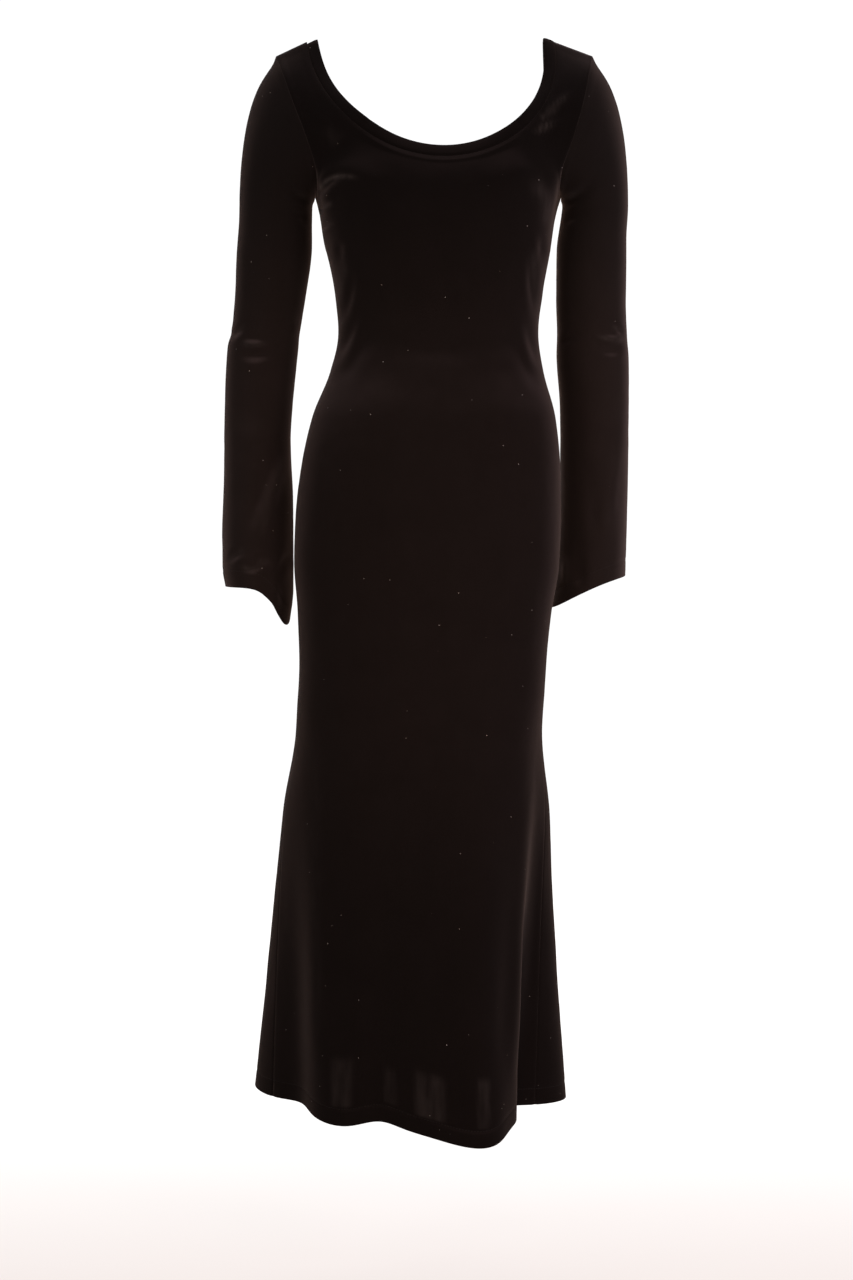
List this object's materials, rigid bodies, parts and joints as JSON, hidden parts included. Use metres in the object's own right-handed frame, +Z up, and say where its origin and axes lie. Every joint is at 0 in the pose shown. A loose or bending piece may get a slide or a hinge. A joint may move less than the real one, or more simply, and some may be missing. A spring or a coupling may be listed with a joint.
{
  "type": "maxi dress",
  "caption": "Long black velvet dress with a wide scoop neck, long flared sleeves and a fitted waist opening into a flared skirt in soft folds; hollow, open at neck, cuffs and hem.",
  "frame": {"origin": "midway between the shoulder seams, at their mean height, where the wearer's shoulders hold the dress", "axes": "+Z up along the dress's length, -Y out of its front, +X to the right as seen from the front"},
  "size_m": [0.4966, 0.3132, 1.31],
  "materials": {
    "velvet": "near-black stretch velvet, matte pile with a soft sheen at its edges"
  },
  "bodies": {
    "root": {"front": "velvet", "back": "velvet", "sleeve_left": "velvet", "sleeve_right": "velvet", "neck_band": "velvet"}
  },
  "joints": []
}
